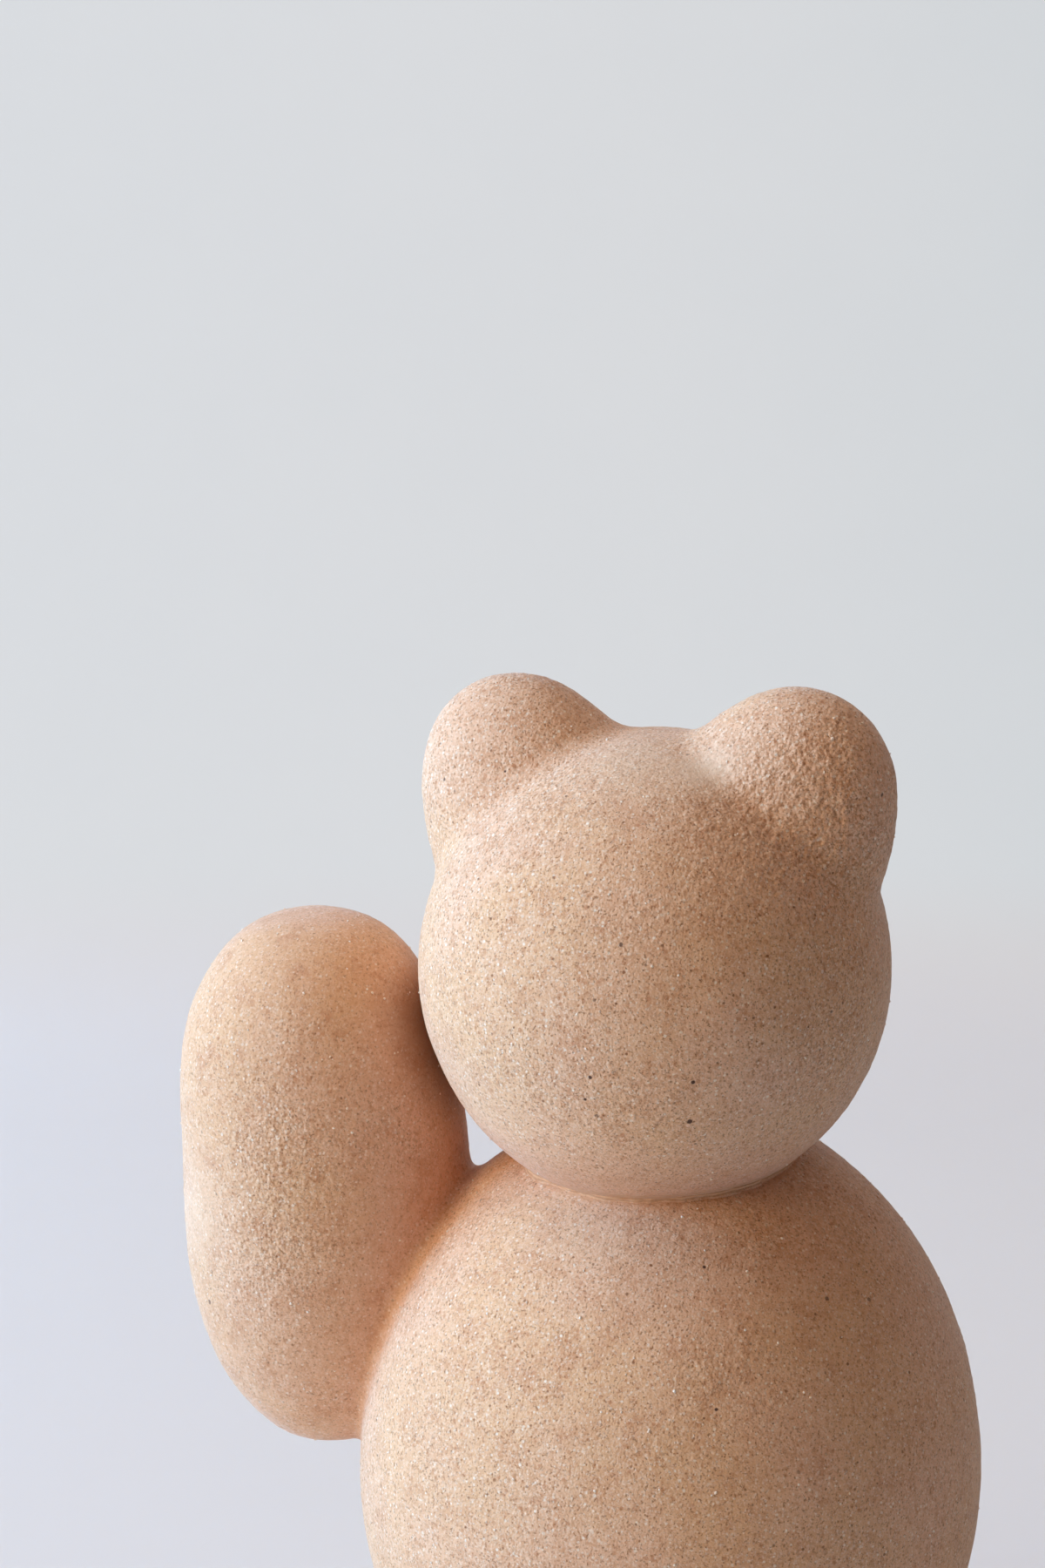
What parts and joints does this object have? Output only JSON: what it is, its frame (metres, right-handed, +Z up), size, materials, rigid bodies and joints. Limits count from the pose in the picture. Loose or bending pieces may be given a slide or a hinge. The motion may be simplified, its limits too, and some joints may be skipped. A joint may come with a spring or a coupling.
{
  "type": "lucky cat figurine",
  "caption": "Faceless lucky cat figurine in speckled unglazed stoneware: egg-shaped body on a flat foot, round head with rounded ears, and one raised paw-arm luted to its side.",
  "frame": {"origin": "middle of the flat foot, on the surface that the figurine stands on", "axes": "+Z up; the cat looks towards -Y; the raised arm is at -X"},
  "size_m": [0.1534, 0.118, 0.2073],
  "materials": {
    "stoneware": "matte",
    "joining_clay": "matte"
  },
  "bodies": {
    "root": {"body_lower_bowl": "stoneware", "body_upper_bowl": "stoneware", "body_seam_coil": "joining_clay", "neck_coil": "joining_clay", "head_lower_bowl": "stoneware", "head_upper_bowl": "stoneware", "head_seam_coil": "joining_clay", "left_ear_shell": "stoneware", "left_ear_coil": "joining_clay", "right_ear_shell": "stoneware", "right_ear_coil": "joining_clay", "arm_lower_bowl": "stoneware", "arm_upper_bowl": "stoneware", "arm_seam_coil": "joining_clay", "arm_coil": "joining_clay"}
  },
  "joints": []
}
